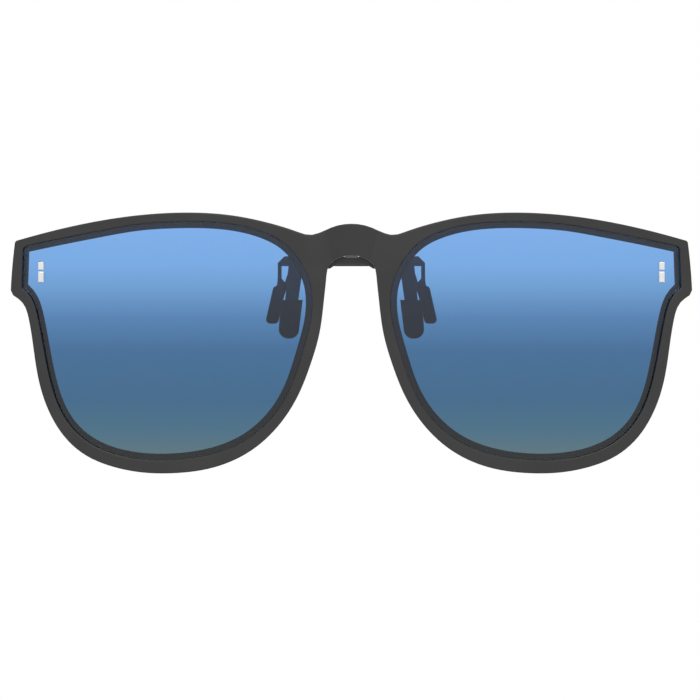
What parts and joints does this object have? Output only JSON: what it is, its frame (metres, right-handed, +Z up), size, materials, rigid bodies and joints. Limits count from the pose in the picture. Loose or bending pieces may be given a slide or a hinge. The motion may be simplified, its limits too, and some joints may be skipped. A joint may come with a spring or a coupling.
{
  "type": "clip on flip lenses",
  "caption": "Clip-on tinted lens front that grips spectacle lenses with a sprung jaw and flips up on a bridge hinge.",
  "frame": {"origin": "symmetry plane, midway between front and rear pads, level with the lower edges of the claws' bars", "axes": "+X to the right seen from the front, the front faces -Y, +Z up as worn"},
  "size_m": [0.1444, 0.0181, 0.055],
  "materials": {
    "frame_plastic": "satin black",
    "lens_tint": "clear blue tint, lighter at the top",
    "stud_metal": "polished",
    "coated_steel": "black coat",
    "screw_steel": "bright",
    "pad_rubber": "smooth dark rubber"
  },
  "bodies": {
    "clip": {"clip_base": "coated_steel", "front_pad_left": "pad_rubber", "front_pad_right": "pad_rubber", "jaw_pin": "screw_steel", "jaw_spring": "screw_steel"},
    "lens_front": {"front_frame": "frame_plastic", "lens_left": "lens_tint", "lens_right": "lens_tint", "stud_upper_left": "stud_metal", "stud_lower_left": "stud_metal", "stud_upper_right": "stud_metal", "stud_lower_right": "stud_metal", "flip_bracket": "coated_steel", "bracket_screw_left": "screw_steel", "bracket_screw_right": "screw_steel", "flip_pin": "screw_steel", "friction_washer_left": "screw_steel", "friction_washer_right": "screw_steel"},
    "rear_jaw": {"rear_claw": "coated_steel", "rear_pad_left": "pad_rubber", "rear_pad_right": "pad_rubber", "thumb_tab_cover": "pad_rubber"}
  },
  "joints": [
    {"name": "front_flip", "type": "hinge", "parent": "clip", "child": "lens_front", "pos_m": [0, -0.0042, 0.0032], "axis": [-1, 0, 0], "range_deg": [0, 90]},
    {"name": "jaw_open", "type": "hinge", "parent": "clip", "child": "rear_jaw", "pos_m": [0, 0.00035, 0.0024], "axis": [1, 0, 0], "range_deg": [0, 15], "stiffness_Nm_per_rad": 0.02, "springref_deg": -57.3, "deforming": ["jaw_spring"]}
  ]
}
